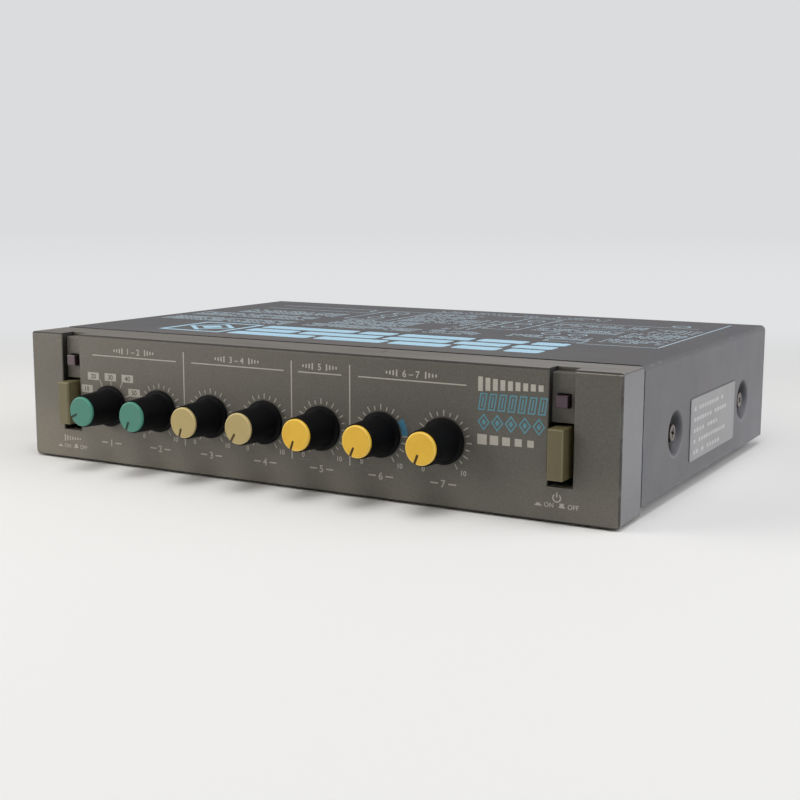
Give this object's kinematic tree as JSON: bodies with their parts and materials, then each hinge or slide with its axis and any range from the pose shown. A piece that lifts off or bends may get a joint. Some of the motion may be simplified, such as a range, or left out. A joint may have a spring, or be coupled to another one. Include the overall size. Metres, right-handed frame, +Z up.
{
  "type": "rackmount delay unit",
  "caption": "Half-rack audio delay unit: grey folded case, moulded bezel with a row of rotary controls, two push buttons in stepped channels, rear jacks and feet.",
  "frame": {"origin": "bottom centre of the whole unit's box, on the table under its middle", "axes": "+X to the right seen from the front, +Y from the front controls towards the rear sockets, +Z up"},
  "size_m": [0.218, 0.1682, 0.0444],
  "materials": {
    "bezel_moulding": "fine textured grey moulding",
    "cover_paint": "satin grey paint on steel sheet",
    "chassis_sheet": "plated steel sheet",
    "knob_plastic": "satin black moulding",
    "cap_teal": "teal moulding",
    "cap_beige": "beige moulding",
    "cap_yellow": "yellow moulding",
    "shaft_steel": "turned steel",
    "control_housing": "pressed metal housing",
    "plated_nut": "nickel plated",
    "button_plastic": "olive brown moulding",
    "plunger_plastic": "natural white moulding",
    "switch_housing": "pressed metal can",
    "lens_plastic": "dark red translucent moulding",
    "lamp_plastic": "red epoxy",
    "board_laminate": "green coated laminate",
    "chip_plastic": "black moulding",
    "capacitor_case": "dark blue case",
    "socket_plastic": "black moulding",
    "zinc_screw": "zinc plated steel",
    "foot_rubber": "black rubber"
  },
  "bodies": {
    "housing": {"front_bezel": "bezel_moulding", "top_cover": "cover_paint", "bottom_chassis": "chassis_sheet", "range_switch": "control_housing", "time_potentiometer": "control_housing", "rate_potentiometer": "control_housing", "depth_potentiometer": "control_housing", "feedback_potentiometer": "control_housing", "tone_potentiometer": "control_housing", "level_potentiometer": "control_housing", "effect_switch": "switch_housing", "effect_lamp_lens": "lens_plastic", "effect_lamp": "lamp_plastic", "power_switch": "switch_housing", "power_lamp_lens": "lens_plastic", "power_lamp": "lamp_plastic", "main_board": "board_laminate", "memory_chips": "chip_plastic", "control_chip": "chip_plastic", "filter_capacitors": "capacitor_case", "remote_jack": "socket_plastic", "mixed_output_jack": "socket_plastic", "direct_output_jack": "socket_plastic", "input_jack": "socket_plastic", "jack_nuts": "plated_nut", "power_socket": "socket_plastic", "level_switch": "switch_housing", "cover_screws": "zinc_screw", "rubber_feet": "foot_rubber"},
    "range_control": {"range_knob": "knob_plastic", "range_knob_cap": "cap_teal", "range_shaft": "shaft_steel"},
    "time_control": {"time_knob": "knob_plastic", "time_knob_cap": "cap_teal", "time_shaft": "shaft_steel"},
    "rate_control": {"rate_knob": "knob_plastic", "rate_knob_cap": "cap_beige", "rate_shaft": "shaft_steel"},
    "depth_control": {"depth_knob": "knob_plastic", "depth_knob_cap": "cap_beige", "depth_shaft": "shaft_steel"},
    "feedback_control": {"feedback_knob": "knob_plastic", "feedback_knob_cap": "cap_yellow", "feedback_shaft": "shaft_steel"},
    "tone_control": {"tone_knob": "knob_plastic", "tone_knob_cap": "cap_yellow", "tone_shaft": "shaft_steel"},
    "level_control": {"level_knob": "knob_plastic", "level_knob_cap": "cap_yellow", "level_shaft": "shaft_steel"},
    "effect_push": {"effect_button": "button_plastic", "effect_switch_plunger": "plunger_plastic"},
    "power_push": {"power_button": "button_plastic", "power_switch_plunger": "plunger_plastic"},
    "level_slider": {"level_switch_lever": "plunger_plastic"}
  },
  "joints": [
    {"name": "range_turn", "type": "hinge", "parent": "housing", "child": "range_control", "pos_m": [-0.0736, -0.0695, 0.0205], "axis": [0, 1, 0], "range_deg": [0, 240]},
    {"name": "time_turn", "type": "hinge", "parent": "housing", "child": "time_control", "pos_m": [-0.0523, -0.0695, 0.0205], "axis": [0, 1, 0], "range_deg": [0, 300]},
    {"name": "rate_turn", "type": "hinge", "parent": "housing", "child": "rate_control", "pos_m": [-0.031, -0.0695, 0.0205], "axis": [0, 1, 0], "range_deg": [0, 300]},
    {"name": "depth_turn", "type": "hinge", "parent": "housing", "child": "depth_control", "pos_m": [-0.0097, -0.0695, 0.0205], "axis": [0, 1, 0], "range_deg": [0, 300]},
    {"name": "feedback_turn", "type": "hinge", "parent": "housing", "child": "feedback_control", "pos_m": [0.0116, -0.0695, 0.0205], "axis": [0, 1, 0], "range_deg": [0, 300]},
    {"name": "tone_turn", "type": "hinge", "parent": "housing", "child": "tone_control", "pos_m": [0.0329, -0.0695, 0.0205], "axis": [0, 1, 0], "range_deg": [0, 300]},
    {"name": "level_turn", "type": "hinge", "parent": "housing", "child": "level_control", "pos_m": [0.0542, -0.0695, 0.0205], "axis": [0, 1, 0], "range_deg": [0, 300]},
    {"name": "effect_press", "type": "slide", "parent": "housing", "child": "effect_push", "axis": [0, 1, 0], "range_m": [0, 0.0035], "stiffness_N_per_m": 150, "springref_m": -0.004},
    {"name": "power_press", "type": "slide", "parent": "housing", "child": "power_push", "axis": [0, 1, 0], "range_m": [0, 0.0035], "stiffness_N_per_m": 150, "springref_m": -0.004},
    {"name": "level_slide", "type": "slide", "parent": "housing", "child": "level_slider", "axis": [1, 0, 0], "range_m": [0, 0.004]}
  ]
}
